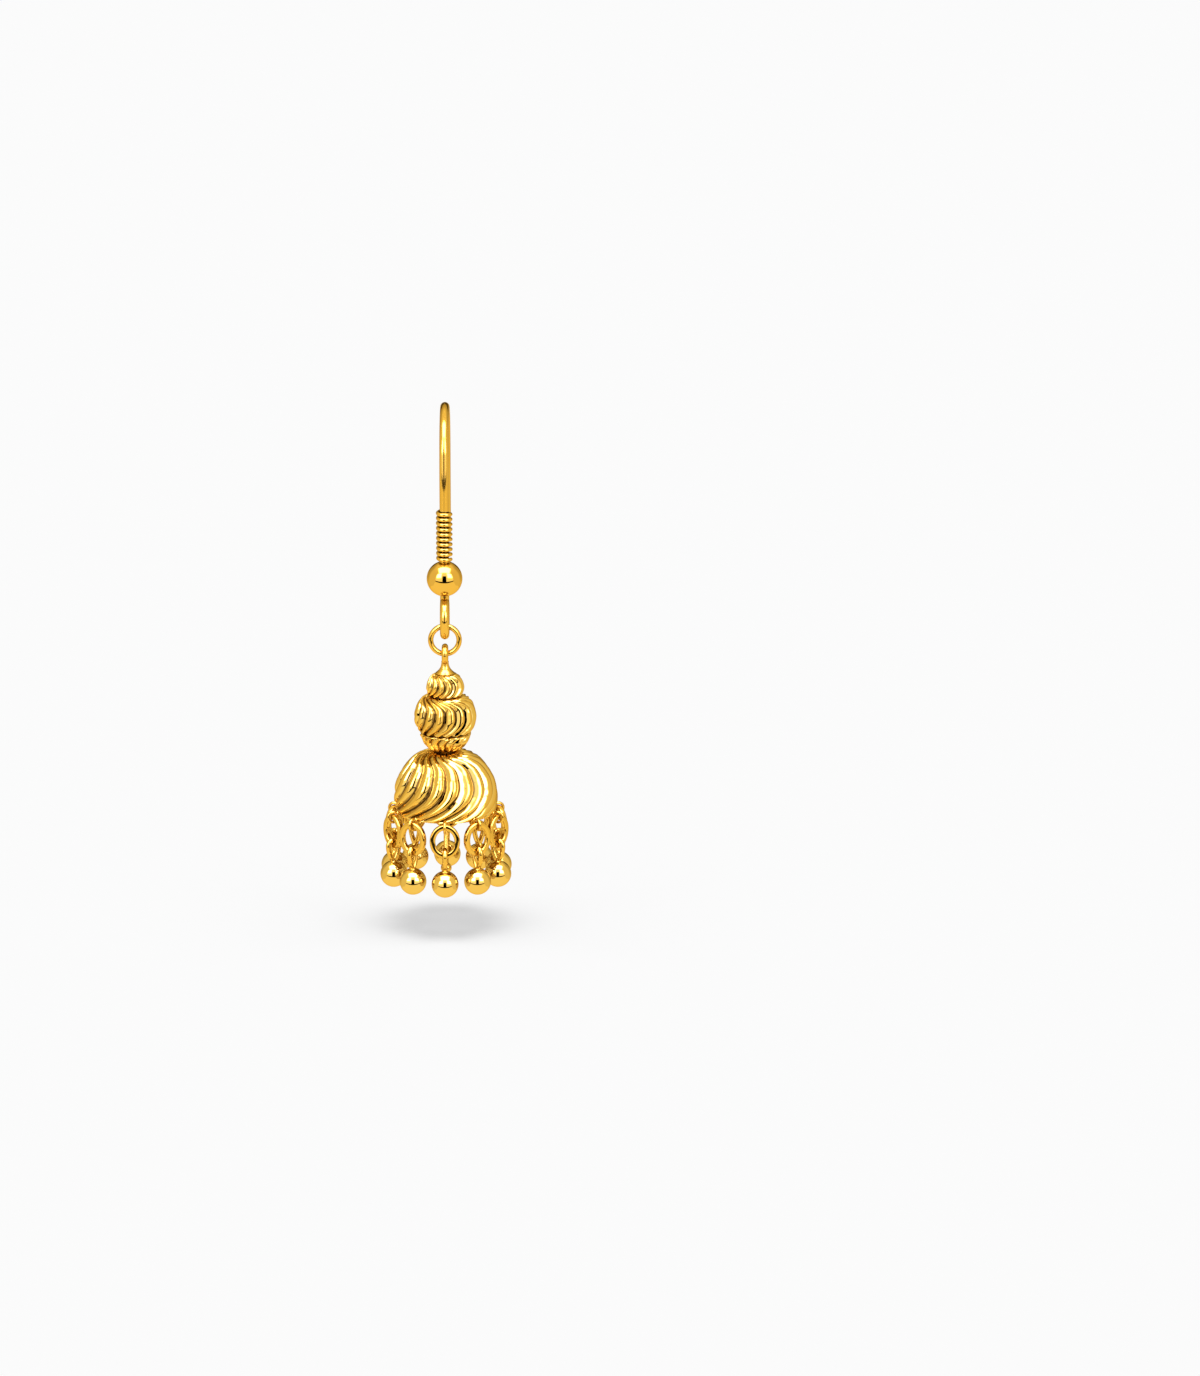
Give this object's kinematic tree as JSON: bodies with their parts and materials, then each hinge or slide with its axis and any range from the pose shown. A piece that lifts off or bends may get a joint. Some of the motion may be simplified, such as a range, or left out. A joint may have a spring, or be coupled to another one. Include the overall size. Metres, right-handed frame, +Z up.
{
  "type": "jhumka earring",
  "caption": "Gold jhumka drop earring: fish-hook ear wire with coil and bead, fluted beads and cup over a hollow fluted dome, and a fringe of round balls on rings.",
  "frame": {"origin": "inside top of the hook's arch, where the wire rests in the pierced ear", "axes": "+Z up along the earring, -Y towards the viewer of its front, +X to the viewer's right, back leg of the hook towards +Y"},
  "size_m": [0.011, 0.0146, 0.0405],
  "materials": {
    "gold": "polished warm yellow gold plating"
  },
  "bodies": {
    "ear_wire": {"ear_wire": "gold", "wire_coil": "gold", "ear_wire_bead": "gold"},
    "jump_ring": {"jump_ring": "gold"},
    "drop": {"drop_bail": "gold", "bead_small": "gold", "bead_middle": "gold", "fluted_cup": "gold", "dome": "gold", "rim_ring_01": "gold", "rim_ring_02": "gold", "rim_ring_03": "gold", "rim_ring_04": "gold", "rim_ring_05": "gold", "rim_ring_06": "gold", "rim_ring_07": "gold", "rim_ring_08": "gold", "rim_ring_09": "gold", "rim_ring_10": "gold", "ball_drop_01": "gold", "ball_drop_02": "gold", "ball_drop_03": "gold", "ball_drop_04": "gold", "ball_drop_05": "gold", "ball_drop_06": "gold", "ball_drop_07": "gold", "ball_drop_08": "gold", "ball_drop_09": "gold", "ball_drop_10": "gold"}
  },
  "joints": [
    {"name": "ring_swing", "type": "hinge", "parent": "ear_wire", "child": "jump_ring", "pos_m": [0, -0.0042, -0.01816], "axis": [0, 1, 0], "range_deg": [-60, 60]},
    {"name": "drop_swing", "type": "hinge", "parent": "jump_ring", "child": "drop", "pos_m": [0, -0.0042, -0.01985], "axis": [1, 0, 0], "range_deg": [-60, 60]}
  ]
}
